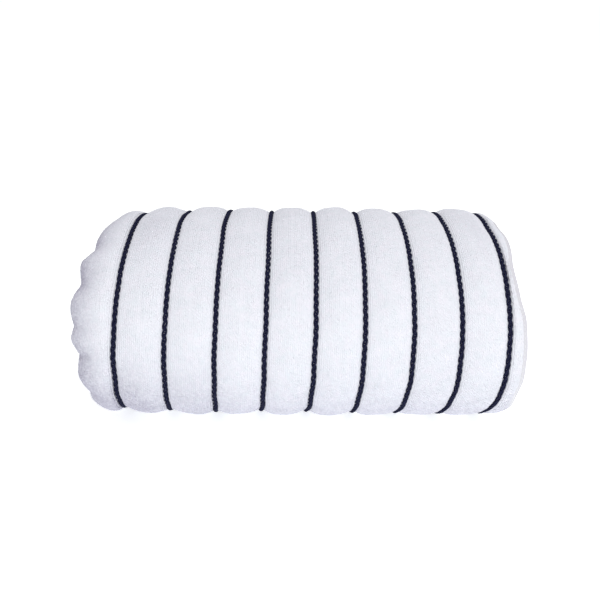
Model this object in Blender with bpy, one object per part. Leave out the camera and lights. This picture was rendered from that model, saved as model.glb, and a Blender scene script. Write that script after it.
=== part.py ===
"""Beach towel, folded in three lengthwise, rolled up and lying on its underside.

The roll lies along X. Its front is at -Y, the floor is at Z = 0, and the origin is under its middle.
Angles go round the section of the roll, in degrees: 0 at the back, 90 on top, 180 in front and 270
underneath. The cloth is wound from the core outwards by way of the underside, the front and the top,
and its loose end, the hem, lies low at the back.
"""
import math

import bmesh
import bpy

MM = 0.001
FULL_TURN = 360.0

# ---- the wound section ----
STACK = 13.0 * MM          # thickness of one turn, which is three layers of terry
TURNS = 5                  # turns wound round the flat core
STEPS = 54                 # columns of points in one turn
LAST = TURNS * STEPS       # the column at the hem, counted from the core
HEM_ANGLE = -38.0          # where the loose end lies
AXIS_Y = -2.5 * MM
AXIS_HEIGHT = 65.0 * MM    # less than the depth of the roll below its axis: the rest is the flat spot
HALF_FRONT = 105.5 * MM    # from the axis to the outermost layer, if it were wound on all the way
HALF_BACK = 104.0 * MM
HALF_TOP = 78.1 * MM
HALF_BELOW = 78.7 * MM
HEM_FLATTENING = 5.0 * MM  # how far the layers are pressed together at the hem
HEM_SOFT_STEPS = 5         # the columns over which they are

# ---- the raised stripes, and the padded bands between them ----
# x, how much wider or narrower the roll is at the stripe, and the crown of the band that follows the
# stripe, on top of the roll and below its front, all in millimetres
STRIPES = (
    (-121.8, -1.9, 3.9, 2.8),
    (-88.2, -0.3, 3.6, 2.4),
    (-55.0, 0.7, 3.3, 1.8),
    (-22.0, 0.0, 3.8, 2.6),
    (10.9, 0.2, 3.9, 2.2),
    (43.4, 0.5, 3.0, 1.8),
    (75.7, 0.2, 2.6, 1.6),
    (107.1, 0.5, 3.5, 1.5),
    (138.5, 0.0, 1.2, 1.0),
)
LEFT_BAND = (-2.4, 2.0, 2.8)         # narrowing at the left fold, and the crown before the first stripe
RIGHT_NARROWING = -1.0               # narrowing at the right edge
STRIPE_HALF = 1.7                    # half of a stripe's width (mm)
STRIPE_TOP_HALF = 0.8
STRIPE_RISE = 0.8                    # how far a stripe stands out of its groove (mm)
CROWN_POWER = 2.4                    # how full a band's crown is
BAND_PLACES = (0.2, 0.5, 0.8)        # where a band has its rows of points, across its width
EDGE_PLACES = (0.35, 0.75)           # the same between the last stripe and the right edge

# The roll is wound a little askew. Angle, and how far the stripes have moved along X there (mm)
DRIFT = ((-38, 0.0), (60, 0.5), (90, 0.7), (120, 1.4), (150, 1.1), (180, 0.0),
         (205, -1.8), (230, -4.5), (270, -6.0), (322, -7.0))

# ---- the two ends ----
# The left end is the fold of the cloth, gathered into puckers: angle, and x at each crest and notch (mm)
LEFT_END = ((-38, -146.0), (-14, -149.0), (4, -146.0), (20, -149.5), (38, -145.5), (55, -148.5),
            (75, -144.8), (98, -146.5), (110, -146.0), (122, -150.2), (135, -147.7), (146, -152.0),
            (157, -149.7), (163, -150.7), (174, -146.2), (188, -148.3), (205, -145.4), (226, -148.8),
            (244, -146.0), (262, -149.3), (280, -146.4), (300, -148.8), (322, -146.0))
# The right end is the side hem, nearly straight
RIGHT_END = ((-38, 150.2), (20, 151.2), (60, 149.7), (80, 150.2), (92, 148.8), (105, 150.7),
             (124, 148.0), (138, 148.8), (152, 151.4), (165, 151.8), (186, 151.6), (194, 150.8),
             (215, 151.7), (250, 150.2), (285, 151.2), (322, 150.2))
# The turns don't end level. Turn, and how far its left and its right end are drawn in (mm)
TURN_ENDS = ((0, 5.0, 4.0), (1, 3.5, 1.5), (2, 1.0, 3.5), (3, 2.5, 1.0), (4, 0.0, 0.0), (5, 0.0, 0.0))
LEFT_MIDDLE = -147.5       # where the ends would lie if they were even (mm)
RIGHT_MIDDLE = 150.3
LEFT_TIP = -152.0          # the foremost crest of the left end (mm)
INNER_CALM = 0.4           # how much more even the ends are for each turn further in
LEFT_NOSE = 6.0            # depth of the groove between the ends of two turns (mm)
RIGHT_NOSE = 3.0
NOSE_PLACES = (0.42, 0.78)  # the rows of points across the end of a turn, from its outer layer inwards
PUCKER_SINK = 0.35         # how far a notch is pressed in, as a share of how far it is drawn in
RIM_SHARE = 0.5            # how much of the puckers is left where the fold meets the outer face
TURN_TO_TURN = 47.0        # the puckers of the turns are out of step by this angle

# ---- the two cottons: linear red, green and blue, and roughness ----
WHITE = (0.86, 0.86, 0.90)
NAVY = (0.010, 0.011, 0.036)
TERRY_ROUGHNESS = 0.95
LOOPS_ROUGHNESS = 0.90


def blend(rows, place, column=1):
    """The value in a table's column at a place, with an easy curve from row to row."""
    for low, high in zip(rows, rows[1:]):
        if place <= high[0]:
            part = max(0.0, (place - low[0]) / (high[0] - low[0]))
            ease = (1.0 - math.cos(math.pi * part)) / 2.0
            return low[column] + (high[column] - low[column]) * ease
    return rows[-1][column]


def angle_at(step):
    """The angle of a column: the hem angle at the end of its turn, and a full turn more at its start."""
    if step == LAST:
        return HEM_ANGLE
    turns_left = (LAST - step) / STEPS
    return HEM_ANGLE + FULL_TURN * (turns_left - math.ceil(turns_left) + 1)


def hem_sink(step):
    """How far the outer face has sunk, close to the hem."""
    return HEM_FLATTENING * max(0.0, 1.0 - (LAST - step) / HEM_SOFT_STEPS)


def section(step, inwards=0.0):
    """Y and Z at a column, an amount inside the outer face of its turn (or outside, if negative)."""
    sunk = hem_sink(step)
    depth = STACK * (LAST - step) / STEPS + sunk + inwards * (1.0 - sunk / STACK)
    across = math.cos(math.radians(angle_at(step)))
    upward = math.sin(math.radians(angle_at(step)))
    y = ((HALF_BACK if across > 0 else HALF_FRONT) - depth) * across
    z = ((HALF_TOP if upward > 0 else HALF_BELOW) - depth) * upward
    return AXIS_Y + y, max(AXIS_HEIGHT + z, 0.0)


def end_x(step, side):
    """X of the outermost points of a turn's left (-1) or right (+1) end at a column."""
    table, middle, column = (LEFT_END, LEFT_MIDDLE, 1) if side < 0 else (RIGHT_END, RIGHT_MIDDLE, 2)
    turns_under = max(0.0, (LAST - step) / STEPS - 1.0)
    angle = HEM_ANGLE + (angle_at(step) - HEM_ANGLE + TURN_TO_TURN * turns_under) % FULL_TURN
    reach = (blend(table, angle) - middle) / (1.0 + INNER_CALM * turns_under)
    return (middle + reach - side * blend(TURN_ENDS, step / STEPS, column)) * MM


def across_band(place, crown, low, high):
    """How proud a band stands at a place across it, between the roll's widths at its two sides."""
    fullness = 1.0 - abs(2.0 * place - 1.0) ** CROWN_POWER
    return low + (high - low) * place + crown * fullness


def skin_rows(step):
    """X and the amount that the outer turn stands proud there, from the left rim to the right."""
    angle = angle_at(step)
    drift = blend(DRIFT, angle)
    top_share = (1.0 + math.sin(math.radians(angle))) / 2.0
    fold = end_x(step, -1) / MM
    rim = LEFT_NOSE + LEFT_MIDDLE + RIM_SHARE * (fold - LEFT_MIDDLE)
    pressed = PUCKER_SINK * (fold - LEFT_TIP)
    edge = end_x(step, 1) / MM - RIGHT_NOSE
    middles = [x + drift for x, *_ in STRIPES]
    starts = [rim, *(middle + STRIPE_HALF for middle in middles)]
    finishes = [*(middle - STRIPE_HALF for middle in middles), edge]
    girths = [LEFT_BAND[0], *(girth for _, girth, _, _ in STRIPES), RIGHT_NARROWING]
    crowns = [LEFT_BAND[1:], *((top, below) for _, _, top, below in STRIPES)]
    rows = [(rim, girths[0] - pressed)]
    for band, (start, finish) in enumerate(zip(starts, finishes)):
        low, high = girths[band:band + 2]
        top, below = crowns[band]
        crown = below + (top - below) * top_share
        for place in EDGE_PLACES if finish == edge else BAND_PLACES:
            rows.append((start + (finish - start) * place, across_band(place, crown, low, high)))
        if finish != edge:
            rows += [(finish, high - STRIPE_RISE),
                     (middles[band] - STRIPE_TOP_HALF, high),
                     (middles[band] + STRIPE_TOP_HALF, high),
                     (middles[band] + STRIPE_HALF, high - STRIPE_RISE)]
    rows.append((edge, RIGHT_NARROWING))
    return [(x * MM, proud * MM) for x, proud in rows]


def is_stripe(row):
    """True where a row of faces belongs to a stripe: three of the rows in each pitch."""
    before = 1 + len(BAND_PLACES)
    pitch = 4 + len(BAND_PLACES)
    return row >= before and (row - before) % pitch < 3 and (row - before) // pitch < len(STRIPES)


class RollMesh:
    """Collects the points and faces of the roll."""

    def __init__(self):
        self.mesh = bmesh.new()
        self.columns = {}      # the outer turn: column -> its row of points

    def point(self, x, y, z):
        return self.mesh.verts.new((x, y, z))

    def face(self, *points, colour=0):
        self.mesh.faces.new(points).material_index = colour

    def lay_skin(self):
        """The outer face of the last turn, and the step at the hem."""
        for step in range(LAST - STEPS, LAST + 1):
            self.columns[step] = [self.point(x, *section(step, -proud)) for x, proud in skin_rows(step)]
        for step in range(LAST - STEPS, LAST):
            here, there = self.columns[step], self.columns[step + 1]
            for row in range(len(here) - 1):
                colour = 1 if is_stripe(row) else 0
                self.face(here[row], here[row + 1], there[row + 1], there[row], colour=colour)
        inner, outer = self.columns[LAST - STEPS], self.columns[LAST]
        for row in range(len(inner) - 1):
            self.face(inner[row], inner[row + 1], outer[row + 1], outer[row])

    def lay_end(self, side):
        """One end of the roll: a groove between each two turns, and a flat nose on each turn."""
        groove_depth = (LEFT_NOSE if side < 0 else RIGHT_NOSE) * MM
        rim_row = 0 if side < 0 else -1
        grooves = [self.point(end_x(step, side) - side * groove_depth, *section(step))
                   for step in range(LAST - STEPS)]
        grooves += [self.columns[step][rim_row] for step in range(LAST - STEPS, LAST + 1)]
        noses = {step: [self.point(end_x(step, side), *section(step, STACK * place))
                        for place in NOSE_PLACES]
                 for step in range(STEPS, LAST + 1)}
        for step in range(STEPS, LAST):
            here = [grooves[step], *noses[step], grooves[step - STEPS]]
            there = [grooves[step + 1], *noses[step + 1], grooves[step + 1 - STEPS]]
            for row in range(len(here) - 1):
                self.face(here[row], here[row + 1], there[row + 1], there[row])
        self.face(grooves[LAST], *noses[LAST], grooves[LAST - STEPS])
        core = grooves[:STEPS + 1] + noses[STEPS]
        middle = self.point(sum(point.co.x for point in core) / len(core), AXIS_Y, AXIS_HEIGHT)
        for here, there in zip(core, core[1:] + core[:1]):
            self.face(middle, here, there)

    def finish(self, name):
        bmesh.ops.recalc_face_normals(self.mesh, faces=self.mesh.faces[:])
        data = bpy.data.meshes.new(name)
        self.mesh.to_mesh(data)
        self.mesh.free()
        return data


def cotton(name, colour, roughness):
    new = bpy.data.materials.new(name)
    new.use_nodes = True
    new.diffuse_color = (*colour, 1.0)
    shader = new.node_tree.nodes["Principled BSDF"]
    shader.inputs["Base Color"].default_value = (*colour, 1.0)
    shader.inputs["Roughness"].default_value = roughness
    shader.inputs["Metallic"].default_value = 0.0
    return new


def towel_roll(collection):
    roll = RollMesh()
    roll.lay_skin()
    roll.lay_end(-1)
    roll.lay_end(1)
    data = roll.finish("towel_roll")
    data.materials.append(cotton("white_terry", WHITE, TERRY_ROUGHNESS))
    data.materials.append(cotton("navy_loops", NAVY, LOOPS_ROUGHNESS))
    collection.objects.link(bpy.data.objects.new("towel_roll", data))


def main():
    for thing in list(bpy.data.objects):
        bpy.data.objects.remove(thing)
    collection = bpy.data.collections.new("beach_towel")
    bpy.context.scene.collection.children.link(collection)
    towel_roll(collection)


main()
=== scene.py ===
"""Looks of a beach towel that is folded in three lengthwise, rolled up and lying on its underside.

The roll lies along X, its front is at -Y and the floor is at Z = 0. Angles go round its section, in
degrees: 0 at the back, 90 on top, 180 in front and 270 underneath. A place along the winding is counted in
turns from the core; the loose end, the hem, lies low at the back. One turn holds three layers of cloth: the
outer panel, which ends in the side hem on the right, then the middle panel and the inner one.
"""
import math

import bmesh
import bpy
import numpy as np
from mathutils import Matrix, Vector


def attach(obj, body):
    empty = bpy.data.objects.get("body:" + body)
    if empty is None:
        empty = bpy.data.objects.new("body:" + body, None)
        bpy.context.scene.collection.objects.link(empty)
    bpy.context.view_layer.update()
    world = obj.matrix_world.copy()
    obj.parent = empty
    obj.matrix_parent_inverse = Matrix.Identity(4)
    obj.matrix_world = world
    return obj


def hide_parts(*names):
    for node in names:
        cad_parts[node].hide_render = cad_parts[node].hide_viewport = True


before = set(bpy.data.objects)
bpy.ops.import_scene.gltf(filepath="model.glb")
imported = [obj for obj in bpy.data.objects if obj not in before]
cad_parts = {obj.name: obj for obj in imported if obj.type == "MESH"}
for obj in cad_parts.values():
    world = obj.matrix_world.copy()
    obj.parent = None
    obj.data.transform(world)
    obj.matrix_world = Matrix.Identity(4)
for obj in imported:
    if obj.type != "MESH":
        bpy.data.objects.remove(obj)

bl_info = {
    "name": "Rolled beach towel",
    "version": (1, 0, 0),
    "blender": (4, 5, 0),
    "location": "3D View > Sidebar > Towel",
    "description": "A striped terry towel, folded in three lengthwise and rolled up",
    "category": "Add Mesh",
}

MM = 0.001
FULL_TURN = 360.0
BODY = "root"
NODE = "towel_roll"
CLOTH = "Towel_cloth"
TERRY = "cotton terry, looped"
SHADE_ATTRIBUTE = "painted_shade"          # the mesh attribute that tells how much shade is painted on the cloth there
SEED = 4                   # of the random numbers

# ---- the wound section, the same sizes as the solid's ----
STACK = 13.0 * MM          # thickness of one turn
LAYER = STACK / 3.0        # of one layer of cloth in it
TURNS = 5
HEM_ANGLE = -38.0          # where the loose end lies
AXIS_Y = -2.5 * MM
AXIS_HEIGHT = 65.0 * MM
HALF_FRONT = 105.5 * MM    # from the axis to the outer face, if it were still as far out there as at the hem
HALF_BACK = 104.0 * MM
HALF_TOP = 78.1 * MM
HALF_BELOW = 78.7 * MM
HEM_FLATTENING = 5.0 * MM  # how far the layers are pressed together at the hem
HEM_SOFT_TURN = 0.093      # the share of a turn over which they are
UNCOVERED_TURN = 0.04      # the share of a turn over which a layer swells as it comes out from under the hem
RELIEF_DEPTH = 30.0 * MM   # how deep in the roll the swell of its bands is still felt
SQUASH_DEPTH = 45.0 * MM   # how deep its own weight flattens it
FLOOR_SOFTNESS = 1.0 * MM  # how softly the section turns into its flat underside
CORE_DEPTH = 65.0 * MM     # this deep in the roll, its turns lie askew by the next angle
CORE_TILT = math.radians(-9.0)
CORE_TILT_POWER = 1.5

# ---- stripes, and the padded bands between them ----
# X, how much wider or narrower the roll is at the stripe, and how high the band that follows the stripe is
# crowned on top of the roll and underneath it, all in millimetres
STRIPES = (
    (-121.8, -1.9, 3.9, 2.8),
    (-88.2, -0.3, 3.6, 2.4),
    (-55.0, 0.7, 3.3, 1.8),
    (-22.0, 0.0, 3.8, 2.6),
    (10.9, 0.2, 3.9, 2.2),
    (43.4, 0.5, 3.0, 1.8),
    (75.7, 0.2, 2.6, 1.6),
    (107.1, 0.5, 3.5, 1.5),
    (138.5, 0.0, 1.2, 1.0),
)
LEFT_BAND = (-2.4, 2.0, 2.8)   # the last three of these for the band before the first stripe
RIGHT_NARROWING = -1.0     # how much narrower the roll is at its right end (mm)
STRIPE_HALF = 1.7          # half of the width of the channel that a stripe lies in (mm)
CHANNEL_RISE = -0.8        # the height of its edges over the roll's own width there (mm)
CHANNEL_DEPTH = 0.7        # its depth below them (mm)
CROWN_POWER = 2.4          # 2 is an arch, more is flatter on top
# The roll is wound a little askew. Angle, and how far the stripes have moved along X there (mm)
DRIFT = ((-38, 0.0), (60, 0.5), (90, 0.7), (120, 1.4), (150, 1.1), (180, 0.0),
         (205, -1.8), (230, -4.5), (270, -6.0), (322, -7.0))

# ---- the two ends ----
# Angle, and X of the tips of the cloth there (mm)
LEFT_END = ((-38, -146.0), (-14, -149.0), (4, -146.0), (20, -149.5), (38, -145.5), (55, -148.5),
            (75, -144.8), (98, -146.5), (110, -146.0), (120, -151.2), (131, -149.0), (144, -152.6),
            (157, -149.7), (163, -150.7), (174, -146.2), (188, -148.3), (205, -145.4), (226, -148.8),
            (244, -146.0), (262, -149.3), (280, -146.4), (300, -148.8), (322, -146.0))
RIGHT_END = ((-38, 150.2), (20, 151.2), (60, 149.7), (80, 150.2), (92, 148.8), (105, 150.7),
             (124, 148.0), (138, 148.8), (152, 151.4), (165, 151.8), (186, 151.6), (194, 150.8),
             (215, 151.7), (250, 150.2), (285, 151.2), (322, 150.2))
# Turns from the core, and how far the left and the right tips are drawn in there (mm)
TURN_ENDS = ((0, 5.0, 4.0), (1, 3.5, 1.5), (2, 1.0, 3.5), (3, 2.5, 1.0), (4, 0.0, 0.0), (5, 0.0, 0.0))
LEFT_MIDDLE = -147.5       # about the middle of the tips' X (mm)
RIGHT_MIDDLE = 150.3
INNER_CALM = 0.4           # how much straighter the tips run with each turn that covers them
TURN_TO_TURN = 47.0        # how far round their waves are moved from turn to turn (degrees)

# ---- the folds of the cloth ----
PILE_DEPTH = 0.25 * MM     # the ground cloth lies this far under the outer face, which is the pile's
GAP = 0.3 * MM             # half of the gap between two layers
CROWN_SHARE = 0.78         # where the left band is highest, between the fold and its stripe
LEFT_DRAW = 4.6 * MM       # how far the left fold is drawn in towards the core
LEFT_DRAW_POWER = 1.7      # more draws only the tip in
FOLD_REACH = 9.0 * MM      # how far in from its tip a fold is rounded
RIGHT_FOLD_REACH = 0.6 * FOLD_REACH
FOLD_POWER = 1.9           # 2 is a round fold, less is a pointed one
FOLD_WALL = LAYER + 0.4 * MM   # from its tip to the opening inside it
SIDE_HEM = 3.0 * MM        # width of the narrow hem along the free edge
SIDE_HEM_DROP = 1.2 * MM   # how far the free edge hangs down over the fold under it
TUCKED_EDGE = 7.5 * MM     # from the tip of the left fold to the side hem that it holds
TUCKED_ROUNDING = 2.0 * MM     # over which that edge is rounded
# Degrees wound back from the loose end, and how far inside the side hem the right fold's tip is there (mm)
RIGHT_FOLD_INSET = ((0, 2.5), (60, 4.0), (130, 2.0), (190, 3.6), (250, 2.2), (310, 4.2), (360, 2.5))
INSET_STRETCH = 0.93       # stretches that round the roll, so that no turn has the same insets as the next

# The gathers of the left fold: angle, how far the crease runs in from the tip, half of its width, its depth
# and its lean, all in millimetres but the angle and the lean, which is millimetres for each millimetre
GATHERS = (
    (4, 14, 3.0, 1.6, 0.2), (38, 18, 3.5, 2.0, -0.3), (75, 18, 3.5, 2.0, 0.2), (107, 12, 4.0, 2.6, 0.3),
    (131, 14, 4.5, 3.2, 0.5), (156, 9, 2.2, 1.8, 0.2), (174, 13, 3.0, 2.6, -0.4), (205, 16, 3.4, 2.4, -0.5),
    (244, 18, 3.5, 2.0, 0.2), (280, 16, 3.0, 1.8, -0.2),
)
GATHER_FADE = 1.3          # how fast a crease fades along its run
GIRTH_PER_DEGREE = 1.55    # mm along the outer face for each degree
TIP_SHADE = 0.78           # painted shade at the tip of the left fold, which turns away from the light
SHADE_REACH = 24.0 * MM     # and how far in from it that goes
SHADE_POWER = 1.5           # how fast it fades on the way
# Patches of painted shade: x (mm), angle, their reach across and along (mm), how much shade is painted there
SHADE_PATCHES = (
    (-106.0, 98.0, 13.0, 30.0, 0.17), (-112.0, 204.0, 15.0, 44.0, 0.34), (128.0, 98.0, 9.0, 26.0, 0.11),
    (100.0, 170.0, 20.0, 26.0, 0.05), (-72.0, 200.0, 22.0, 40.0, 0.17), (-8.0, 122.0, 12.0, 18.0, 0.04),
    (-151.0, 127.0, 4.5, 10.0, 0.40), (-147.0, 103.0, 4.5, 8.0, 0.30),
)
SHADE_BELOW = 0.57             # painted shade low on the front and underneath
SHADE_BELOW_FROM = 150.0       # from this angle, growing over this many degrees
SHADE_BELOW_OVER = 62.0
SHADE_BELOW_AT_LEFT = 0.5      # how much more of that painted shade near the left fold, as a share
SHADE_RAISES_LOOPS = 1.1          # how much higher a loop stands where shade is painted on it in full, as a share
SHADE_VARIES = 0.24         # how much more or less painted shade one loop has than the next, as a share
CREASE_SHADE = 76.0        # painted shade in a crease, for each metre of its depth
SWELL_HEIGHT = 0.22 * MM
# Swells of the cloth: their length along X and round the roll (mm), where they start (radians), their share
SWELLS = ((41.0, 62.0, 0.3, 1.0), (-29.0, 47.0, 2.1, 0.8), (23.0, -37.2, 4.0, 0.6), (67.0, 21.5, 5.2, 0.6),
          (-17.0, 93.0, 1.2, 0.4))

# ---- how finely the cloth is made ----
FINE_FROM = 3.9            # turns from the core; the outer turn is finer than what it covers
FINE_STEP = 1.6            # degrees between two columns of points
MIDDLE_STEP = 2.5          # the same over two turns further in, whose gathers show at the left end
MIDDLE_TURNS = 2.0
COARSE_STEP = 5.0          # and in the rest of the roll
# Rows of points across the cloth, where it is fine and where it is coarse. First as shares of the way over a
# band, then the same for the two bands at the ends, then as shares of half a channel's width from its middle
BAND_PLACES = ((0.03, 0.1, 0.2, 0.34, 0.5, 0.66, 0.8, 0.9, 0.97), (0.2, 0.8))
END_BAND_PLACES = ((0.15, 0.35, 0.6, 0.85), (0.5,))
CHANNEL_PLACES = (1.0, 0.45, -0.45, -1.0)
EDGE_PLACES = ((0.0, 0.5), (0.5, 0.8), (1.8, 1.0))   # mm in from a free edge, share of the full thickness
LEFT_FOLD_ROWS = (23, 15)  # round the fold
RIGHT_FOLD_ROWS = 9
FLAT_ROWS = 9              # over each hidden side of a panel
FACING_ROWS = (20, 9)      # and over that of the outer panel

# ---- the loops and the strands ----
FIRST_SEEN = TURNS - 1.02  # where the outer turn starts, just under the loose end (turns from the core)
SAMPLES_ALONG = 4001       # how finely a way along the roll is measured, and one round a fold
SAMPLES_ROUND = 401
CLEAR_OF_ENDS = 0.002      # no loop is nearer than this to an end of the cloth (turns)
FOLD_SLACK = 0.006         # the loops of a fold start this share of it from its ends
LEFT_ROWS = 4              # rows of loops between the crown of the left band and its stripe
RIGHT_ROWS = 6             # and between the last stripe and the side hem
LOOP_ROOT = 0.25 * MM      # how deep a loop's foot is in the ground cloth
LOOP_RIDGE = 0.6           # length of its ridge, as a share of the foot's
LOOP_STRAY = 0.10          # how far a loop strays along its row, as a share of the loops' spacing
LOOP_WANDER = 0.04 * MM    # how far it strays from its row
LOOP_SPIN = 0.15           # how far it is turned (radians)
LOOP_LEAN = 0.24           # how far it leans, as a share of its height
LOOP_LENGTHS = (0.9, 1.1)  # the least and the most, as shares of the usual
LOOP_WIDTHS = (0.92, 1.08)
LOOP_HEIGHTS = (0.7, 1.3)
END_STITCHES = (0.1, 0.8)  # where the end hem's rows of stitches are, as shares of its width
STITCHED_UP_TO = TURNS - 0.004
STRAND_SIDES = 6
START_OF_TWIST = 0.21      # of a turn further on each stripe than on the one before
CORD_LIFT = 0.3            # the cord's middle is this share of its width above the floor, or more

# ---- the studio ----
FLOOR_DROP = 0.2 * MM      # below the roll, so that the two don't flicker
WORLD_STRENGTH = 0.505
WORLD_TINT = "#FCFBFE"
FLOOR_GLOW = 0.55          # of a table that is also lit from below, so that it is as white as the photo's
SOFTBOX_DISTANCE = 1.6     # metres
# Name, turn from the front to the right and height above the floor (degrees), side (m), power (W), tint
SOFTBOXES = (
    ("Key softbox", 29.0, 62.0, 0.8, 10.5, "#FFFFFF"),
)
CAMERA_PLACE = (-0.0005, -0.5014, 0.3003)
CAMERA_DOWN = 24.4         # how far it looks down (degrees)
CAMERA_ROLL = -0.54        # degrees
CAMERA_LENS = 42.0         # mm, on a sensor of this width
CAMERA_SENSOR = 36.0


def linear(colour):
    """The linear red, green and blue of an sRGB hex value."""
    values = [int(colour[i:i + 2], 16) / 255.0 for i in (1, 3, 5)]
    return tuple(v / 12.92 if v <= 0.04045 else ((v + 0.055) / 1.055) ** 2.4 for v in values)


# ------------------------------------------------------------------ the shape of the roll
def blend(rows, places, column=1):
    """A table's column at these places, with an easy curve from row to row."""
    table = np.array(rows, float)
    at, value = table[:, 0], table[:, column]
    places = np.clip(places, at[0], at[-1])
    low = np.clip(np.searchsorted(at, places, side="right") - 1, 0, len(at) - 2)
    part = (places - at[low]) / (at[low + 1] - at[low])
    return value[low] + (value[low + 1] - value[low]) * (1.0 - np.cos(np.pi * part)) / 2.0


def angle_at(wound):
    """The angle round the roll, from the hem angle up to a full turn more."""
    return HEM_ANGLE + (FULL_TURN * (TURNS - wound)) % FULL_TURN


def last_turn_angle(wound):
    """The same, but held at its highest value on the turns that are covered."""
    return HEM_ANGLE + np.minimum(FULL_TURN * (TURNS - wound), FULL_TURN)


def hem_start(hem_width):
    """How far wound the flat hem at the loose end starts."""
    return TURNS - hem_width / (GIRTH_PER_DEGREE * MM * FULL_TURN)


def covered_turns(wound):
    """How many turns lie over a place: it grows softly, just under the hem."""
    left = TURNS - wound
    whole = np.floor(left)
    return np.where(left < 1.0, 0.0, whole - 1.0 + np.clip((left - whole) / UNCOVERED_TURN, 0.0, 1.0))


def hem_sink(wound):
    """How far the layers are pressed together near the loose end."""
    return HEM_FLATTENING * np.maximum(0.0, 1.0 - (TURNS - wound) / HEM_SOFT_TURN)


def end_x(wound, side):
    """X of the tips of the left (-1) or right (+1) end of the cloth."""
    table, middle, column = (LEFT_END, LEFT_MIDDLE, 1) if side < 0 else (RIGHT_END, RIGHT_MIDDLE, 2)
    turns_under = np.maximum(0.0, TURNS - wound - 1.0)
    angle = HEM_ANGLE + (FULL_TURN * (TURNS - wound) + TURN_TO_TURN * turns_under) % FULL_TURN
    reach = (blend(table, angle) - middle) / (1.0 + INNER_CALM * turns_under)
    return (middle + reach - side * blend(TURN_ENDS, wound, column)) * MM


def drift(wound):
    """How far the stripes have moved along X."""
    return blend(DRIFT, last_turn_angle(wound)) * MM


def left_crown_x(wound):
    """X of the highest place of the left band, from where the fold starts to turn in."""
    tip = end_x(wound, -1)
    groove = (STRIPES[0][0] - STRIPE_HALF) * MM + drift(wound)
    return tip + CROWN_SHARE * (groove - tip)


def band_span(wound, band):
    """X of the two sides of a band: between two stripes, or from the left crown, or to the side hem."""
    shift = drift(wound)
    start = (STRIPES[band - 1][0] + STRIPE_HALF) * MM + shift if band else left_crown_x(wound)
    if band == len(STRIPES):
        return start, end_x(wound, 1) - SIDE_HEM
    return start, (STRIPES[band][0] - STRIPE_HALF) * MM + shift


def gathers(x, wound):
    """The creases that run in from the left fold (m, negative)."""
    sunk = np.zeros(np.broadcast(x, wound).shape)
    inwards = (x - end_x(wound, -1)) / MM
    for angle, run, half_width, depth, lean in GATHERS:
        along = (angle_at(wound) - angle) * GIRTH_PER_DEGREE - lean * inwards
        fade = np.clip(1.0 - inwards / run, 0.0, 1.0)
        sunk -= depth * MM * fade ** GATHER_FADE * np.exp(-0.5 * (along / half_width) ** 2)
    return sunk


def painted_shade_share(x, wound):
    """How much shade is painted on the cloth, from 0 to 1.

    It is most at the tip of the left fold and in its creases, and less low on the front, underneath and in
    patches.
    """
    inwards = x - end_x(wound, -1)
    share = TIP_SHADE * np.clip(1.0 - inwards / SHADE_REACH, 0.0, 1.0) ** SHADE_POWER
    # painted shade low on the front and underneath
    below = np.clip((angle_at(wound) - SHADE_BELOW_FROM) / SHADE_BELOW_OVER, 0.0, 1.0) ** 2
    near_left = np.clip(1.0 - inwards / (2.0 * SHADE_REACH), 0.0, 1.0)
    share = share + SHADE_BELOW * below * (1.0 + SHADE_BELOW_AT_LEFT * near_left)
    # patches of painted shade
    for middle, angle, reach_across, reach_along, patch_shade in SHADE_PATCHES:
        across = (x / MM - middle) / reach_across
        along = (angle_at(wound) - angle) * GIRTH_PER_DEGREE / reach_along
        share = share + patch_shade * np.exp(-across ** 2 - along ** 2)
    # and painted shade in the creases of the left fold
    return np.clip(share - CREASE_SHADE * gathers(x, wound), 0.0, 1.0)


def swell(x, wound):
    """Slow uneven swells of the soft cloth."""
    across, along = x / MM, angle_at(wound) * GIRTH_PER_DEGREE
    height = np.zeros(np.broadcast(x, wound).shape)
    for length_across, length_along, start, part in SWELLS:
        height += part * np.sin(2.0 * np.pi * (across / length_across + along / length_along) + start)
    return height * SWELL_HEIGHT


def relief(x, wound):
    """How proud the outer face stands at x: its crowned bands, and the channels that the stripes lie in."""
    top_share = (1.0 + np.sin(np.radians(angle_at(wound)))) / 2.0
    at = (x - drift(wound)) / MM
    table = np.array(STRIPES)
    middles, girths = table[:, 0], table[:, 1]
    band = np.searchsorted(middles, at)
    left_centre = (left_crown_x(wound) - drift(wound)) / MM
    right_edge = (end_x(wound, 1) - drift(wound) - SIDE_HEM) / MM
    ends_low = np.concatenate([[0.0], middles + STRIPE_HALF])
    ends_high = np.concatenate([middles - STRIPE_HALF, [0.0]])
    start = np.where(band == 0, 2.0 * left_centre - ends_high[0], ends_low[band])
    finish = np.where(band == len(middles), right_edge, ends_high[band])
    over = np.clip((at - start) / (finish - start), 0.0, 1.0)
    over = np.where(band == 0, np.maximum(over, 0.5), over)
    lows = np.concatenate([[LEFT_BAND[0]], girths])[band]
    highs = np.concatenate([girths, [RIGHT_NARROWING]])[band]
    tops = np.concatenate([[LEFT_BAND[1]], table[:, 2]])[band]
    belows = np.concatenate([[LEFT_BAND[2]], table[:, 3]])[band]
    crown = belows + (tops - belows) * top_share
    edge_low = np.where(band == 0, 0.0, CHANNEL_RISE)
    edge_high = np.where(band == len(middles), 0.0, CHANNEL_RISE)
    height = lows + edge_low + (highs + edge_high - lows - edge_low) * over
    fullness = 1.0 - np.abs(2.0 * over - 1.0) ** CROWN_POWER
    height = height + (crown - (edge_low + edge_high) / 2.0) * fullness
    nearest = np.argmin(np.abs(at[..., None] - middles), axis=-1)
    off = np.abs(at - middles[nearest]) / STRIPE_HALF
    channel = girths[nearest] + CHANNEL_RISE - CHANNEL_DEPTH * (1.0 - np.minimum(off, 1.0) ** 2)
    tip, crown_x = end_x(wound, -1), left_crown_x(wound)
    drawn = LEFT_DRAW * np.clip((crown_x - x) / (crown_x - tip), 0.0, 1.0) ** LEFT_DRAW_POWER
    return np.where(off < 1.0, channel, height) * MM - drawn + gathers(x, wound) + swell(x, wound)


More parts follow.
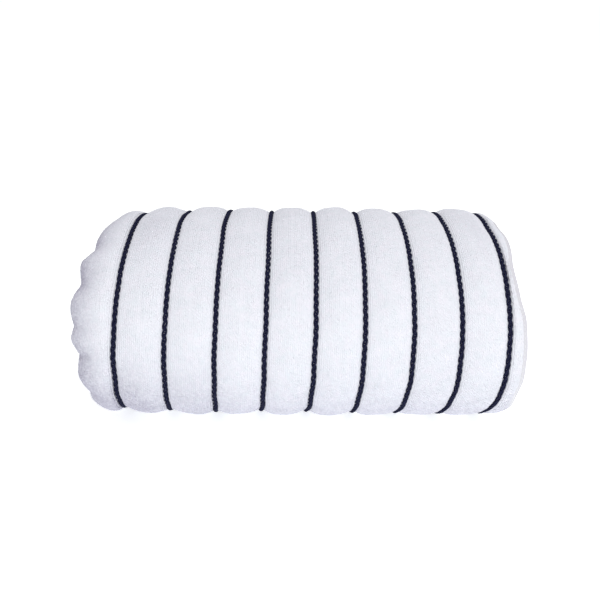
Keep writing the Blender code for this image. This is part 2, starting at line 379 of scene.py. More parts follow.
def section(wound, inwards, proud):
    """Y and Z of a place inside the outer face of its turn, where the roll's face stands that proud."""
    left = TURNS - wound
    angle = np.radians(HEM_ANGLE + FULL_TURN * left)
    across, upward = np.cos(angle), np.sin(angle)
    covered = covered_turns(wound)
    sunk = hem_sink(wound)
    inner = inwards * (1.0 - sunk / STACK)
    under = STACK * covered + inner
    felt = proud * np.clip(1.0 - under / RELIEF_DEPTH, 0.0, 1.0)
    depth = STACK * left + sunk + inner - felt
    y = (np.where(across > 0, HALF_BACK, HALF_FRONT) - depth) * across
    half = np.where(upward > 0, HALF_TOP, HALF_BELOW)
    outermost = AXIS_HEIGHT + (half - STACK * (left - covered) - sunk + proud) * upward
    push = FLOOR_SOFTNESS * np.logaddexp(0.0, -outermost / FLOOR_SOFTNESS)
    z = (half - depth) * upward + push * np.clip(1.0 - under / SQUASH_DEPTH, 0.0, 1.0)
    tilt = CORE_TILT * np.maximum(under / CORE_DEPTH, 0.0) ** CORE_TILT_POWER
    return (AXIS_Y + y * np.cos(tilt) - z * np.sin(tilt),
            AXIS_HEIGHT + y * np.sin(tilt) + z * np.cos(tilt))


def place(wound, x, inwards):
    """Points of the roll: how far wound, x, and how far inside the outer face of the turn."""
    wound, x, inwards = np.broadcast_arrays(wound, x, inwards)
    y, z = section(wound, inwards, relief(x, wound))
    return np.stack([x, y, z], axis=-1)


# ------------------------------------------------------------------ the faces of the folded cloth
def outer_face(wound, x):
    """The face of the outer panel."""
    return place(wound, x, PILE_DEPTH + edge_drop(wound, x))


def edge_drop(wound, x):
    """How far the free edge of the outer panel hangs down."""
    near = np.clip(1.0 - (end_x(wound, 1) - x) / FOLD_REACH, 0.0, 1.0)
    return SIDE_HEM_DROP * near ** 2


def left_fold(wound, turn):
    """The outside of the left fold, from the outer face (0) over its tip (0.5) to the inner face (1)."""
    tip = end_x(wound, -1)
    hidden = np.clip(covered_turns(wound), 0.0, 1.0)
    outer_reach = (left_crown_x(wound) - tip) * (1.0 - hidden) + FOLD_REACH * hidden
    reach = np.where(turn < 0.5, outer_reach, FOLD_REACH)
    face = np.where(turn < 0.5, PILE_DEPTH, STACK - GAP)
    side, level = np.sin(np.pi * turn), np.abs(np.cos(np.pi * turn))
    x = tip + reach * (1.0 - side ** (2.0 / FOLD_POWER))
    inwards = STACK / 2.0 + (face - STACK / 2.0) * level ** (2.0 / FOLD_POWER)
    return place(wound, x, inwards)


def right_fold_tip(wound):
    """X of the tip of the small fold on the right."""
    wound_back = FULL_TURN * (TURNS - wound) * INSET_STRETCH
    return end_x(wound, 1) - blend(RIGHT_FOLD_INSET, wound_back % FULL_TURN) * MM


def right_fold(wound, turn):
    """The outside of the small fold on the right, from the inner face (0) to the middle panel's (1)."""
    centre, radius = STACK - LAYER, LAYER - GAP
    side, level = np.sin(np.pi * turn), np.cos(np.pi * turn)
    x = right_fold_tip(wound) - RIGHT_FOLD_REACH * (1.0 - side ** (2.0 / FOLD_POWER))
    inwards = centre + radius * np.sign(level) * np.abs(level) ** (2.0 / FOLD_POWER)
    return place(wound, x, inwards)


def across_rows(wound, fine):
    """The rows of points round the folded cloth's own section, in order, the looks between them, and how
    many rows there are before the cloth turns back.

    They run from the free side hem over the outer face, the left fold, the inner panel, the right fold and
    the middle panel to the tucked side hem, and back along the other side of the cloth.
    """
    rows, looks = [], []
    edge, tip, fold = end_x(wound, 1), end_x(wound, -1), right_fold_tip(wound)
    kind = 0 if fine else 1
    parts = np.linspace(0.0, 1.0, FLAT_ROWS)

    def add(points, look=0):
        rows.append(points)
        looks.append(look)

    def add_edge(places, face, look):
        for inset, level in places:
            x = edge - inset * MM
            depth = LAYER / 2.0 + (face - LAYER / 2.0) * level
            add(place(wound, x, depth + edge_drop(wound, x)), look)

    def add_panel(start, finish, inwards, shares):
        for share in shares:
            add(place(wound, start + (finish - start) * share, inwards))

    add_edge(EDGE_PLACES, PILE_DEPTH, 1)
    for band in range(len(STRIPES), -1, -1):
        start, finish = band_span(wound, band)
        shares = (END_BAND_PLACES if band in (0, len(STRIPES)) else BAND_PLACES)[kind]
        for share in reversed(shares):
            add(outer_face(wound, start + (finish - start) * share))
        if band and fine:
            middle = STRIPES[band - 1][0] * MM + drift(wound)
            for off in CHANNEL_PLACES:
                add(outer_face(wound, middle + off * STRIPE_HALF * MM))
    for turn in np.linspace(0.0, 1.0, LEFT_FOLD_ROWS[kind]):
        add(left_fold(wound, turn))
    add_panel(tip + FOLD_REACH, fold - RIGHT_FOLD_REACH, STACK - GAP, parts[1:-1])
    for turn in np.linspace(0.0, 1.0, RIGHT_FOLD_ROWS):
        add(right_fold(wound, turn))
    tucked = tip + TUCKED_EDGE + TUCKED_ROUNDING
    add_panel(fold - RIGHT_FOLD_REACH, tucked, LAYER + GAP, parts[1:])
    add(place(wound, tip + TUCKED_EDGE, 1.5 * LAYER))   # the tucked side hem's very edge
    turning = len(rows)
    add_panel(fold - RIGHT_FOLD_REACH, tucked, 2.0 * LAYER - GAP, parts[::-1])
    add(place(wound, fold - 0.75 * RIGHT_FOLD_REACH, 2.0 * LAYER))   # inside the right fold
    add_panel(fold - RIGHT_FOLD_REACH, tip + FOLD_REACH, 2.0 * LAYER + GAP, parts)
    for turn in (0.25, 0.5, 0.75):                      # inside the left fold
        x = tip + FOLD_REACH - (FOLD_REACH - FOLD_WALL) * np.sin(np.pi * turn)
        add(place(wound, x, STACK / 2.0 + (LAYER / 2.0 + GAP) * np.cos(np.pi * turn)))
    start, finish = tip + FOLD_REACH, edge - SIDE_HEM
    for share in np.linspace(0.0, 1.0, FACING_ROWS[kind]):
        x = start + (finish - start) * share
        add(place(wound, x, LAYER - GAP + edge_drop(wound, x)))
    add_edge(EDGE_PLACES[:0:-1], LAYER - GAP, 0)
    return np.array(rows), looks, turning


# ------------------------------------------------------------------ meshes
def mesh_object(name, points, polygons, materials, looks=None, painted_shade=None):
    """An object of these points and polygons.

    Looks are its faces' materials, and the last argument tells for each point how much shade is painted
    there.
    """
    data = bpy.data.meshes.new(name)
    data.from_pydata(points.reshape(-1, 3).tolist(), [], [list(p) for p in polygons])
    for material in materials:
        data.materials.append(material)
    data.polygons.foreach_set("use_smooth", np.ones(len(data.polygons), bool))
    if looks is not None:
        data.polygons.foreach_set("material_index", np.asarray(looks, np.int32))
    if painted_shade is not None:
        data.attributes.new(SHADE_ATTRIBUTE, "FLOAT", "POINT").data.foreach_set("value", np.ravel(painted_shade))
    data.update()
    made = bpy.data.objects.new(name, data)
    bpy.context.scene.collection.objects.link(made)
    return made


def turn_faces_out(made):
    """Turns the faces of a closed mesh outwards."""
    work = bmesh.new()
    work.from_mesh(made.data)
    bmesh.ops.recalc_face_normals(work, faces=work.faces[:])
    work.to_mesh(made.data)
    work.free()


def far_along(points):
    """How far along a chain of points each one is (m)."""
    steps = np.linalg.norm(np.diff(points, axis=0), axis=1)
    return np.concatenate([[0.0], np.cumsum(steps)])


def zip_chains(first, first_points, second, second_points):
    """Triangles between two chains of numbered points, walked along together."""
    first_at, second_at = [far / far[-1] for far in (far_along(first_points), far_along(second_points))]
    triangles, i, j = [], 0, 0
    while i < len(first) - 1 or j < len(second) - 1:
        if j == len(second) - 1 or (i < len(first) - 1 and first_at[i + 1] <= second_at[j + 1]):
            triangles.append((first[i], first[i + 1], second[j]))
            i += 1
        else:
            triangles.append((first[i], second[j + 1], second[j]))
            j += 1
    return triangles


def grid_faces(first_number, rows, columns):
    """Quads of a closed ring of rows by columns, and the row of each."""
    row, column = np.meshgrid(np.arange(rows), np.arange(columns - 1), indexing="ij")
    after = (row + 1) % rows
    corners = np.stack([row * columns + column, row * columns + column + 1,
                        after * columns + column + 1, after * columns + column], axis=-1)
    return (corners + first_number).reshape(-1, 4), row.ravel()


def tube_faces(first, steps):
    """The faces of a tube of rings of points, with its two ends."""
    base = first + np.arange(steps - 1) * STRAND_SIDES
    last = first + (steps - 1) * STRAND_SIDES
    faces = []
    for side in range(STRAND_SIDES):
        after = (side + 1) % STRAND_SIDES
        faces += np.stack([base + side, base + after, base + STRAND_SIDES + after,
                           base + STRAND_SIDES + side], axis=1).tolist()
    faces.append([first + side for side in range(STRAND_SIDES)])
    faces.append([last + side for side in reversed(range(STRAND_SIDES))])
    return faces


def surface_at(face, wound, place_on):
    """Points of a face, and the directions along the winding, across it and outwards there."""
    step_wound, step_across = 0.0005, 0.0002
    hand = -1.0 if face is outer_face else 1.0   # X grows the other way than the turn round a fold
    points = face(wound, place_on)
    along = face(wound + step_wound, place_on) - face(wound - step_wound, place_on)
    across = face(wound, place_on + step_across) - face(wound, place_on - step_across)
    along /= np.linalg.norm(along, axis=-1, keepdims=True)
    across /= np.maximum(np.linalg.norm(across, axis=-1, keepdims=True), 1e-12)
    out = hand * np.cross(along, across)
    out /= np.linalg.norm(out, axis=-1, keepdims=True)
    return points, along, across, out


def loops_at(face, wound, place_on):
    """The same, with how much shade is painted there."""
    points, along, across, out = surface_at(face, wound, place_on)
    return points, along, across, out, painted_shade_share(points[..., 0], wound)


def evenly(places, points, spacing):
    """Places along a chain of points, at an even spacing."""
    far = far_along(points)
    count = max(2, int(round(far[-1] / spacing)))
    return np.interp((np.arange(count) + 0.5) / count * far[-1], far, places)


def even_windings(face, place_on, start, finish, spacing):
    """Windings at an even spacing along a face."""
    wound = np.linspace(start, finish, SAMPLES_ALONG)
    return evenly(wound, face(wound, np.full_like(wound, place_on)), spacing)


def even_turns(face, wound, spacing):
    """Places round a fold, at an even spacing."""
    turns = np.linspace(FOLD_SLACK, 1.0 - FOLD_SLACK, SAMPLES_ROUND)
    return evenly(turns, face(np.full_like(turns, wound), turns), spacing)


# ------------------------------------------------------------------ materials
def add_node(tree, kind, settings=None, links=None):
    """Adds a node, with values for its attributes or inputs, and links from (node, output) to its inputs."""
    node = tree.nodes.new(kind)
    for name, value in (settings or {}).items():
        if isinstance(name, str) and hasattr(node, name):
            setattr(node, name, value)
        else:
            node.inputs[name].default_value = value
    for name, (source, output) in (links or {}).items():
        tree.links.new(source.outputs[output], node.inputs[name])
    return node


def new_material(name, colour, roughness):
    """A material of one colour and roughness, with its nodes and its shader."""
    made = bpy.data.materials.new(name)
    made.use_nodes = True
    made.diffuse_color = (*colour, 1.0)
    shader = made.node_tree.nodes["Principled BSDF"]
    shader.inputs["Base Color"].default_value = (*colour, 1.0)
    shader.inputs["Roughness"].default_value = roughness
    return made, made.node_tree, shader


def cotton_terry(colour, shade, painted_shade_colour):
    """Cotton terry, looped and bleached white.

    It is matt and soft, with a faint bloom of fibre ends at grazing angles, soft patches where the loops
    lean one way or the other, and painted shade: a greyer tone at the left fold's tip, in its creases, low on
    the front and underneath, and in patches.
    """
    made, tree, shader = new_material(TERRY, colour, 0.95)
    where = add_node(tree, "ShaderNodeTexCoord")
    # the loops lean alike over about 5 mm
    patches = add_node(tree, "ShaderNodeTexNoise", {"Scale": 1.0 / (5.0 * MM), "Detail": 3.0},
                       {"Vector": (where, "Object")})
    tint = add_node(tree, "ShaderNodeMix", {"data_type": "RGBA", 6: (*shade, 1.0), 7: (*colour, 1.0)},
                    {0: (patches, "Fac")})
    # painted shade: the mesh attribute mixes the painted shade colour into the cloth
    painted_shade = add_node(tree, "ShaderNodeAttribute", {"attribute_name": SHADE_ATTRIBUTE})
    cloth = add_node(tree, "ShaderNodeMix", {"data_type": "RGBA", 7: (*painted_shade_colour, 1.0)},
                     {0: (painted_shade, "Fac"), 6: (tint, 2)})
    # yarns are 0.3 mm thick, and drawn 0.5 mm thick to show
    yarns = add_node(tree, "ShaderNodeTexNoise", {"Scale": 1.0 / (0.5 * MM), "Detail": 2.0},
                     {"Vector": (where, "Object")})
    bump = add_node(tree, "ShaderNodeBump", {"Strength": 0.1, "Distance": 0.3 * MM},
                    {"Height": (yarns, "Fac")})
    tree.links.new(cloth.outputs[2], shader.inputs["Base Color"])
    tree.links.new(bump.outputs["Normal"], shader.inputs["Normal"])
    shader.inputs["Sheen Weight"].default_value = 0.1
    shader.inputs["Sheen Roughness"].default_value = 0.6
    shader.inputs["Specular IOR Level"].default_value = 0.1
    return made


def woven_hem(colour):
    """Cotton plain weave, the flat turned hem: matt, with a fine even grain of threads."""
    made, tree, shader = new_material("cotton plain weave, hem", colour, 0.85)
    where = add_node(tree, "ShaderNodeTexCoord")
    # threads are 0.5 mm apart, and drawn 0.9 mm apart to show
    threads = add_node(tree, "ShaderNodeTexVoronoi", {"Scale": 1.0 / (0.9 * MM), "Randomness": 0.25},
                       {"Vector": (where, "Object")})
    bump = add_node(tree, "ShaderNodeBump", {"Strength": 0.25, "Distance": 0.3 * MM},
                    {"Height": (threads, "Distance")})
    tree.links.new(bump.outputs["Normal"], shader.inputs["Normal"])
    shader.inputs["Sheen Weight"].default_value = 0.1
    return made


def dyed_cord(colour, dark):
    """Cotton yarn, dyed navy and twisted: matt, near black, with a dull blue bloom on its raised fibres."""
    made, tree, shader = new_material("cotton yarn, dyed and twisted", colour, 0.9)
    where = add_node(tree, "ShaderNodeTexCoord")
    # its fibres lie in tufts of about 0.2 mm, drawn 0.6 mm across to show
    fibres = add_node(tree, "ShaderNodeTexNoise", {"Scale": 1.0 / (0.6 * MM), "Detail": 3.0},
                      {"Vector": (where, "Object")})
    tint = add_node(tree, "ShaderNodeMix", {"data_type": "RGBA", 6: (*dark, 1.0), 7: (*colour, 1.0)},
                    {0: (fibres, "Fac")})
    bump = add_node(tree, "ShaderNodeBump", {"Strength": 0.5, "Distance": 0.2 * MM},
                    {"Height": (fibres, "Fac")})
    tree.links.new(tint.outputs[2], shader.inputs["Base Color"])
    tree.links.new(bump.outputs["Normal"], shader.inputs["Normal"])
    shader.inputs["Specular IOR Level"].default_value = 0.08
    return made


def sewing_thread(colour):
    """Polyester sewing thread, spun: white, with a slight gloss."""
    return new_material("polyester thread, spun", colour, 0.5)[0]


def painted_floor(colour):
    """Matt painted board: one even pale tone."""
    made, _, shader = new_material("painted board, matt", colour, 1.0)
    shader.inputs["Specular IOR Level"].default_value = 0.0
    shader.inputs["Emission Color"].default_value = (*colour, 1.0)
    shader.inputs["Emission Strength"].default_value = FLOOR_GLOW
    return made


# ------------------------------------------------------------------ pieces
def join_lengths(inner, outer):
    """Triangles between the last ring of one length of the cloth and the first ring of the next."""
    chains = []
    for (rows, numbers, _), column in ((inner, -1), (outer, 0)):
        chains += [np.append(numbers[:, column], numbers[0, column]),
                   np.vstack([rows[:, column], rows[:1, column]])]
    return zip_chains(*chains)


def close_end(length_of_cloth, column):
    """Triangles between the two sides of the cloth, at one end of it."""
    rows, numbers, turning = length_of_cloth
    ring, spots = numbers[:, column], rows[:, column]
    out = np.arange(turning)
    back = np.concatenate([[0], np.arange(len(ring) - 1, turning - 1, -1), [turning - 1]])
    return zip_chains(ring[out], spots[out], ring[back], spots[back])


def lay_cloth(sizes, materials):
    """The whole cloth: a thin closed sheet along the folded and wound path."""
    coarse = np.concatenate([np.arange(0.0, FINE_FROM - MIDDLE_TURNS, COARSE_STEP / FULL_TURN),
                             np.arange(FINE_FROM - MIDDLE_TURNS, FINE_FROM, MIDDLE_STEP / FULL_TURN)])
    fine = np.linspace(FINE_FROM, TURNS, int((TURNS - FINE_FROM) * FULL_TURN / FINE_STEP))
    points, polygons, looks, painted_shade, lengths, counted = [], [], [], [], [], 0
    for wound, is_fine in ((coarse, False), (fine, True)):
        rows, row_looks, turning = across_rows(wound, is_fine)
        quads, row_of = grid_faces(counted, len(rows), len(wound))
        polygons += quads.tolist()
        in_hem = np.tile(wound[:-1] >= hem_start(sizes.hem_width), len(rows))
        looks += np.where(in_hem, 1, np.array(row_looks)[row_of]).tolist()
        numbers = counted + np.arange(len(rows) * len(wound)).reshape(len(rows), len(wound))
        lengths.append((rows, numbers, turning))
        points.append(rows.reshape(-1, 3))
        # painted shade for each point of the cloth
        painted_shade.append(painted_shade_share(rows[..., 0], wound).ravel())
        counted += numbers.size
    joined = join_lengths(*lengths) + close_end(lengths[0], 0) + close_end(lengths[1], -1)
    joined = [face for face in joined if len(set(face)) == 3]
    polygons += joined
    looks += [0] * len(joined)
    made = mesh_object(CLOTH, np.concatenate(points), polygons, materials, looks, np.concatenate(painted_shade))
    turn_faces_out(made)
    return made


def loop_tufts(name, spots, sizes, numbers, material):
    """Loops of pile, each a short closed wedge that leans a little."""
    points, along, across, out, painted_shade = spots
    count = len(points)

    def random_share(least, most):
        return numbers.uniform(least, most, count)

    # the painted shade varies a little from loop to loop, and a loop stands higher where more shade is
    # painted
    painted_shade = np.clip(painted_shade * random_share(1.0 - SHADE_VARIES, 1.0 + SHADE_VARIES), 0.0, 1.0)
    spin = numbers.normal(0.0, LOOP_SPIN, count)[:, None]
    lengthwise = along * np.cos(spin) + across * np.sin(spin)
    sideways = across * np.cos(spin) - along * np.sin(spin)
    half_long = sizes.loop_length / 2.0 * random_share(*LOOP_LENGTHS)[:, None]
    half_wide = sizes.loop_width / 2.0 * random_share(*LOOP_WIDTHS)[:, None]
    height = sizes.loop_height * (random_share(*LOOP_HEIGHTS) * (1.0 + SHADE_RAISES_LOOPS * painted_shade))[:, None]
    lean = numbers.normal(0.0, LOOP_LEAN, (count, 2)) * sizes.loop_height
    top = points + out * height + along * lean[:, :1] + across * lean[:, 1:]
    root = points - out * LOOP_ROOT
    corners = [root + lengthwise * a * half_long + sideways * b * half_wide
               for a, b in ((-1, -1), (1, -1), (1, 1), (-1, 1))]
    ridge = [top + lengthwise * a * half_long * LOOP_RIDGE for a in (-1, 1)]
    all_points = np.stack([*corners, *ridge], axis=1)
    all_points[..., 2] = np.maximum(all_points[..., 2], 0.0)   # pressed flat by the floor
    first = np.arange(count)[:, None] * 6
    quads = np.concatenate([first + np.array(q) for q in ((0, 1, 5, 4), (2, 3, 4, 5), (3, 2, 1, 0))])
    ends = np.concatenate([first + np.array(t) for t in ((1, 2, 5), (3, 0, 4))])
    polygons = quads.tolist() + ends.tolist()
    return mesh_object(name, all_points, polygons, [material], painted_shade=np.repeat(painted_shade, 6))


def row_of_loops(windings, number, numbers):
    """The windings of one row's loops, half a step on in every other row, and each a little astray."""
    step = windings[1] - windings[0]
    return windings + 0.5 * (number % 2) * step + numbers.normal(0.0, LOOP_STRAY, len(windings)) * step


def pile_spots(sizes, numbers, bands, finish):
    """Where the loops of these bands stand, and the directions there."""
    spots = []
    windings = even_windings(outer_face, 0.0, FIRST_SEEN, finish, sizes.loop_spacing)
    for band in bands:
        count = {0: LEFT_ROWS, len(STRIPES): RIGHT_ROWS}.get(band, sizes.rows_per_band)
        for row in range(count):
            wound = row_of_loops(windings, row, numbers)
            first, last = band_span(wound, band)
            x = first + (last - first) * (row + 0.5) / count
            spots.append(loops_at(outer_face, wound, x + numbers.normal(0.0, LOOP_WANDER, len(x))))
    return [np.concatenate(parts) for parts in zip(*spots)]


def fold_spots(sizes, numbers, face, turns, start, finish):
    """Where the loops of a fold stand: the turns are places round it."""
    spots = []
    for number, turn in enumerate(turns):
        windings = even_windings(face, turn, start, finish, sizes.loop_spacing)
        wound = np.clip(row_of_loops(windings, number, numbers), CLEAR_OF_ENDS, TURNS - CLEAR_OF_ENDS)
        spots.append(loops_at(face, wound, np.full_like(wound, turn)))
    return [np.concatenate(parts) for parts in zip(*spots)]


def stitch_spots(sizes, hem_width):
    """Where the stitches of the side hem and of the end hem's two rows lie, and the directions there."""
    start = hem_start(hem_width)
    windings = even_windings(outer_face, 0.0, FIRST_SEEN, STITCHED_UP_TO, sizes.loop_spacing)
    spots = [loops_at(outer_face, windings, end_x(windings, 1) - sizes.inset)]
    for share in END_STITCHES:
        wound = start + share * (TURNS - start)
        x = np.arange(left_crown_x(wound), end_x(wound, 1) - SIDE_HEM, sizes.loop_spacing)
        points, along, across, out, painted_shade = loops_at(outer_face, np.full_like(x, wound), x)
        spots.append((points, across, -along, out, painted_shade))
    return [np.concatenate(parts) for parts in zip(*spots)]


def twisted_cords(sizes, finish, material):
    """The raised stripes: three strands twisted together, laid along their channels up to the end hem."""
    windings = even_windings(outer_face, 0.0, FIRST_SEEN, finish, sizes.strand_step)
    circle = sizes.cord_width / 2.0 - sizes.strand_thickness / 2.0
    ring = 2.0 * np.pi * np.arange(STRAND_SIDES) / STRAND_SIDES
    ring_out = sizes.strand_thickness / 2.0 * np.cos(ring)[None, :, None]
    ring_around = sizes.strand_width / 2.0 * np.sin(ring)[None, :, None]
    tubes, polygons = [], []
    for stripe, (x, *_) in enumerate(STRIPES):
        centre, along, across, out = surface_at(outer_face, windings, x * MM + drift(windings))
        centre = centre + out * (sizes.cord_width / 2.0 - sizes.sunk)
        turned = sizes.twist * far_along(centre) / sizes.strand_pitch + START_OF_TWIST * stripe
        twisted = 2.0 * np.pi * turned
        centre = centre + across * (sizes.sway * np.cos(sizes.strands * twisted))[:, None]
        centre[:, 2] = np.maximum(centre[:, 2], sizes.cord_width * CORD_LIFT)
        for strand in range(sizes.strands):
            turn = (twisted + 2.0 * np.pi * strand / sizes.strands)[:, None]
            outwards = across * np.cos(turn) + out * np.sin(turn)
            around = out * np.cos(turn) - across * np.sin(turn)
            tube = (centre + circle * outwards)[:, None] + (
                outwards[:, None] * ring_out + around[:, None] * ring_around)
            tube[..., 2] = np.maximum(tube[..., 2], 0.0)   # pressed flat by the floor
            polygons += tube_faces(len(tubes) * tube.size // 3, len(windings))
            tubes.append(tube.reshape(-1, 3))
    return mesh_object("Towel_stripes", np.concatenate(tubes), polygons, [material])


# ------------------------------------------------------------------ sizes and colours
def length(name, description, default):
    """A length that a user may change."""
    return bpy.props.FloatProperty(name=name, description=description, default=default, min=0.0,
                                   precision=5, subtype="DISTANCE", unit="LENGTH")


def colour(name, description, default):
    """A colour that a user may change."""
    return bpy.props.FloatVectorProperty(name=name, description=description, default=linear(default),
                                         size=3, min=0.0, max=1.0, subtype="COLOR")


class TowelCloth(bpy.types.PropertyGroup):
    cut_width: length("Width", "Width of the towel laid flat", 0.90)
    cut_length: length("Length", "Length of the towel laid flat", 1.70)
    hem_width: length("End hem", "Width of the flat hem at the loose end", 14.0 * MM)
    hem_white: colour("Hem", "The flat hems", "#DBDAE0")
    white: colour("White", "The cloth, where it is brightest", "#F9F5FD")
    shade: colour("Shade", "The cloth, where its loops lean away", "#E9F0F5")
    # painted shade: the cloth's colour where shade is painted in full
    painted_shade_colour: colour("Open shade", "The cloth, where its loops are all open", "#BCBAC9")


class TowelPile(bpy.types.PropertyGroup):
    rows_per_band: bpy.props.IntProperty(name="Rows", description="Rows of loops between two stripes",
                                         default=22, min=2)
    loop_spacing: length("Spacing", "From loop to loop along a row", 2.3 * MM)
    loop_length: length("Loop length", "Length of a loop's foot", 3.5 * MM)
    loop_width: length("Loop width", "Width of a loop's foot", 2.2 * MM)
    loop_height: length("Loop height", "How far a loop stands up", 0.22 * MM)


class TowelStripes(bpy.types.PropertyGroup):
    cord_width: length("Cord width", "Width of a raised stripe", 3.6 * MM)
    sunk: length("Sunk", "How far the cord is pressed into its channel", 1.2 * MM)
    strand_width: length("Strand width", "Width of one of its strands, round the cord", 1.9 * MM)
    strand_thickness: length("Strand thickness", "Its thickness, out from the cord's middle", 1.45 * MM)
    sway: length("Sway", "How far the cord swings from side to side, once for each strand", 0.08 * MM)
    strands: bpy.props.IntProperty(name="Strands", description="Strands in a stripe's cord", default=3, min=2)
    strand_pitch: length("Lay", "Length of one full twist", 16.6 * MM)
    strand_step: length("Step", "Length of one step of a strand's mesh", 1.6 * MM)
    twist: bpy.props.FloatProperty(name="Twist", description="1 or -1: the way the strands twist",
                                   default=-1.0)
    navy: colour("Navy", "The cord, where its fibres stand up", "#2C2F4C")
    dark: colour("Dark navy", "The cord, between them", "#0A0B1C")


class TowelStitches(bpy.types.PropertyGroup):
    loop_spacing: length("Spacing", "From stitch to stitch", 3.0 * MM)
    loop_length: length("Stitch length", "Length of a stitch", 2.5 * MM)
    loop_width: length("Stitch width", "Thickness of the thread", 0.6 * MM)
    loop_height: length("Stitch height", "How far a stitch stands up", 0.3 * MM)
    inset: length("Inset", "From the side hem's edge to its stitches", 2.2 * MM)
    thread: colour("Thread", "The sewing thread", "#F6F6F8")


class TowelStage(bpy.types.PropertyGroup):
    floor_size: length("Floor", "Side of the floor", 80.0)
    floor: colour("Floor colour", "The floor", "#FDFFFE")


GROUPS = {"towel_cloth": TowelCloth, "towel_pile": TowelPile, "towel_stripes": TowelStripes,
          "towel_stitches": TowelStitches, "towel_stage": TowelStage}


class TOWEL_OT_cloth(bpy.types.Operator):
    """Make the folded and rolled cloth"""
    bl_idname = "towel.make_cloth"
    bl_label = "Cloth"

    def execute(self, context):
        sizes = context.scene.towel_cloth
        materials = [cotton_terry(sizes.white, sizes.shade, sizes.painted_shade_colour), woven_hem(sizes.hem_white)]
        made = lay_cloth(sizes, materials)
        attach(made, BODY)
        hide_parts(NODE)
        return {"FINISHED"}


class TOWEL_OT_pile(bpy.types.Operator):
    """Stand the pile's loops on the cloth"""
    bl_idname = "towel.make_pile"
    bl_label = "Pile"

    def execute(self, context):
        sizes = context.scene.towel_pile
        finish = hem_start(context.scene.towel_cloth.hem_width)
        numbers = np.random.default_rng(SEED)
        row_pitch = (STRIPES[1][0] - STRIPES[0][0] - 2.0 * STRIPE_HALF) * MM / sizes.rows_per_band
        spots = {}
        for name, bands in (("left", (0, 1, 2, 3)), ("middle", (4, 5, 6)), ("right", (7, 8, 9))):
            spots[name] = pile_spots(sizes, numbers, bands, finish)
        outer = fold_spots(sizes, numbers, left_fold, even_turns(left_fold, TURNS - 0.5, row_pitch),
                           FIRST_SEEN, finish)
        inner = fold_spots(sizes, numbers, left_fold, even_turns(left_fold, TURNS - 1.5, row_pitch),
                           0.0, FIRST_SEEN)
        spots["left_folds"] = [np.concatenate(pair) for pair in zip(outer, inner)]
        turns = even_turns(right_fold, TURNS - 0.5, row_pitch)
        spots["right_folds"] = fold_spots(sizes, numbers, right_fold, turns, 0.0, finish)
        for name, where in spots.items():
            made = loop_tufts("Towel_pile_" + name, where, sizes, numbers, bpy.data.materials[TERRY])
            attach(made, BODY)
        return {"FINISHED"}


class TOWEL_OT_stripes(bpy.types.Operator):
    """Lay the raised navy stripes in their channels"""
    bl_idname = "towel.make_stripes"
    bl_label = "Stripes"

    def execute(self, context):
        sizes = context.scene.towel_stripes
        finish = hem_start(context.scene.towel_cloth.hem_width)
        made = twisted_cords(sizes, finish, dyed_cord(sizes.navy, sizes.dark))
        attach(made, BODY)
        return {"FINISHED"}


class TOWEL_OT_stitches(bpy.types.Operator):
    bl_idname = "towel.make_stitches"
    bl_label = "Stitches"

    def execute(self, context):
        sizes, cloth = context.scene.towel_stitches, context.scene.towel_cloth
        numbers = np.random.default_rng(SEED)
        spots = stitch_spots(sizes, cloth.hem_width)
        made = loop_tufts("Towel_stitches", spots, sizes, numbers, sewing_thread(sizes.thread))
        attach(made, BODY)
        return {"FINISHED"}


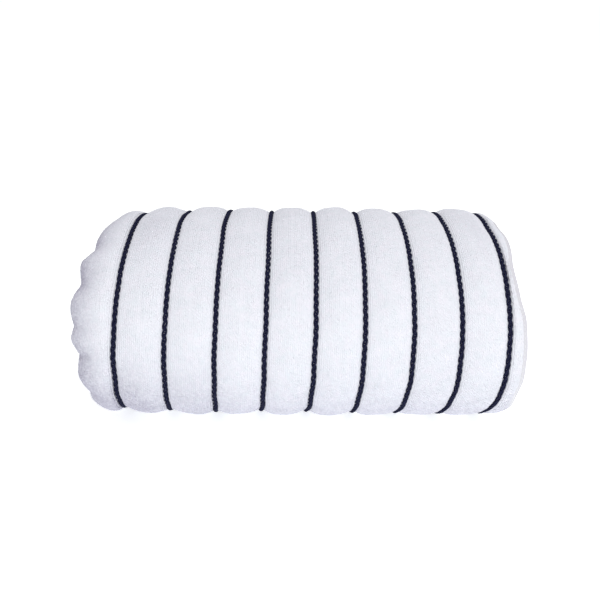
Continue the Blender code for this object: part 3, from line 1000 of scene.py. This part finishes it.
class TOWEL_OT_stage(bpy.types.Operator):
    """Make the floor, the lights and the camera"""
    bl_idname = "towel.make_stage"
    bl_label = "Stage"

    def execute(self, context):
        sizes = context.scene.towel_stage
        half = sizes.floor_size / 2.0
        corners = np.array([(-1, -1, 0), (1, -1, 0), (1, 1, 0), (-1, 1, 0)]) * half - (0.0, 0.0, FLOOR_DROP)
        floor = mesh_object("Floor", corners, [(0, 1, 2, 3)], [painted_floor(sizes.floor)])
        world = bpy.data.worlds.new("Studio")
        world.use_nodes = True
        background = world.node_tree.nodes["Background"]
        background.inputs["Color"].default_value = (*linear(WORLD_TINT), 1.0)
        background.inputs["Strength"].default_value = WORLD_STRENGTH
        context.scene.world = world
        for name, turn, height, size, power, tint in SOFTBOXES:
            lamp = bpy.data.lights.new(name, "AREA")
            lamp.energy = power
            lamp.size = size
            lamp.color = linear(tint)
            holder = bpy.data.objects.new(name, lamp)
            turned = math.radians(turn)
            raised = math.radians(height)
            towards = Vector((math.cos(raised) * math.sin(turned), -math.cos(raised) * math.cos(turned),
                                 math.sin(raised)))
            holder.location = towards * SOFTBOX_DISTANCE
            holder.rotation_mode = "QUATERNION"
            holder.rotation_quaternion = towards.to_track_quat("Z", "Y")
            context.scene.collection.objects.link(holder)
        camera = bpy.data.objects.new("Camera", bpy.data.cameras.new("Camera"))
        camera.data.lens = CAMERA_LENS
        camera.data.sensor_width = CAMERA_SENSOR
        camera.location = CAMERA_PLACE
        camera.rotation_euler = (math.radians(90.0 - CAMERA_DOWN), math.radians(CAMERA_ROLL), 0.0)
        context.scene.collection.objects.link(camera)
        context.scene.camera = camera
        context.scene.view_settings.view_transform = "Standard"
        return {"FINISHED"}


OPERATORS = (TOWEL_OT_cloth, TOWEL_OT_pile, TOWEL_OT_stripes, TOWEL_OT_stitches, TOWEL_OT_stage)


class TOWEL_PT_panel(bpy.types.Panel):
    """The towel's pieces"""
    bl_idname = "TOWEL_PT_panel"
    bl_label = "Beach towel"
    bl_space_type = "VIEW_3D"
    bl_region_type = "UI"
    bl_category = "Towel"

    def draw(self, context):
        for operator, group in zip(OPERATORS, GROUPS):
            box = self.layout.box()
            box.operator(operator.bl_idname)
            settings = getattr(context.scene, group)
            for name in settings.bl_rna.properties.keys():
                if name not in ("rna_type", "name"):
                    box.prop(settings, name)


CLASSES = (*GROUPS.values(), *OPERATORS, TOWEL_PT_panel)


def register():
    for each in CLASSES:
        bpy.utils.register_class(each)
    for name, group in GROUPS.items():
        setattr(bpy.types.Scene, name, bpy.props.PointerProperty(type=group))


def unregister():
    for name in GROUPS:
        delattr(bpy.types.Scene, name)
    for each in reversed(CLASSES):
        bpy.utils.unregister_class(each)


def main():
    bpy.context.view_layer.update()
    register()
    bpy.ops.towel.make_stage()
    bpy.ops.towel.make_cloth()
    bpy.ops.towel.make_pile()
    bpy.ops.towel.make_stripes()
    bpy.ops.towel.make_stitches()


if __name__ == "__main__":
    main()
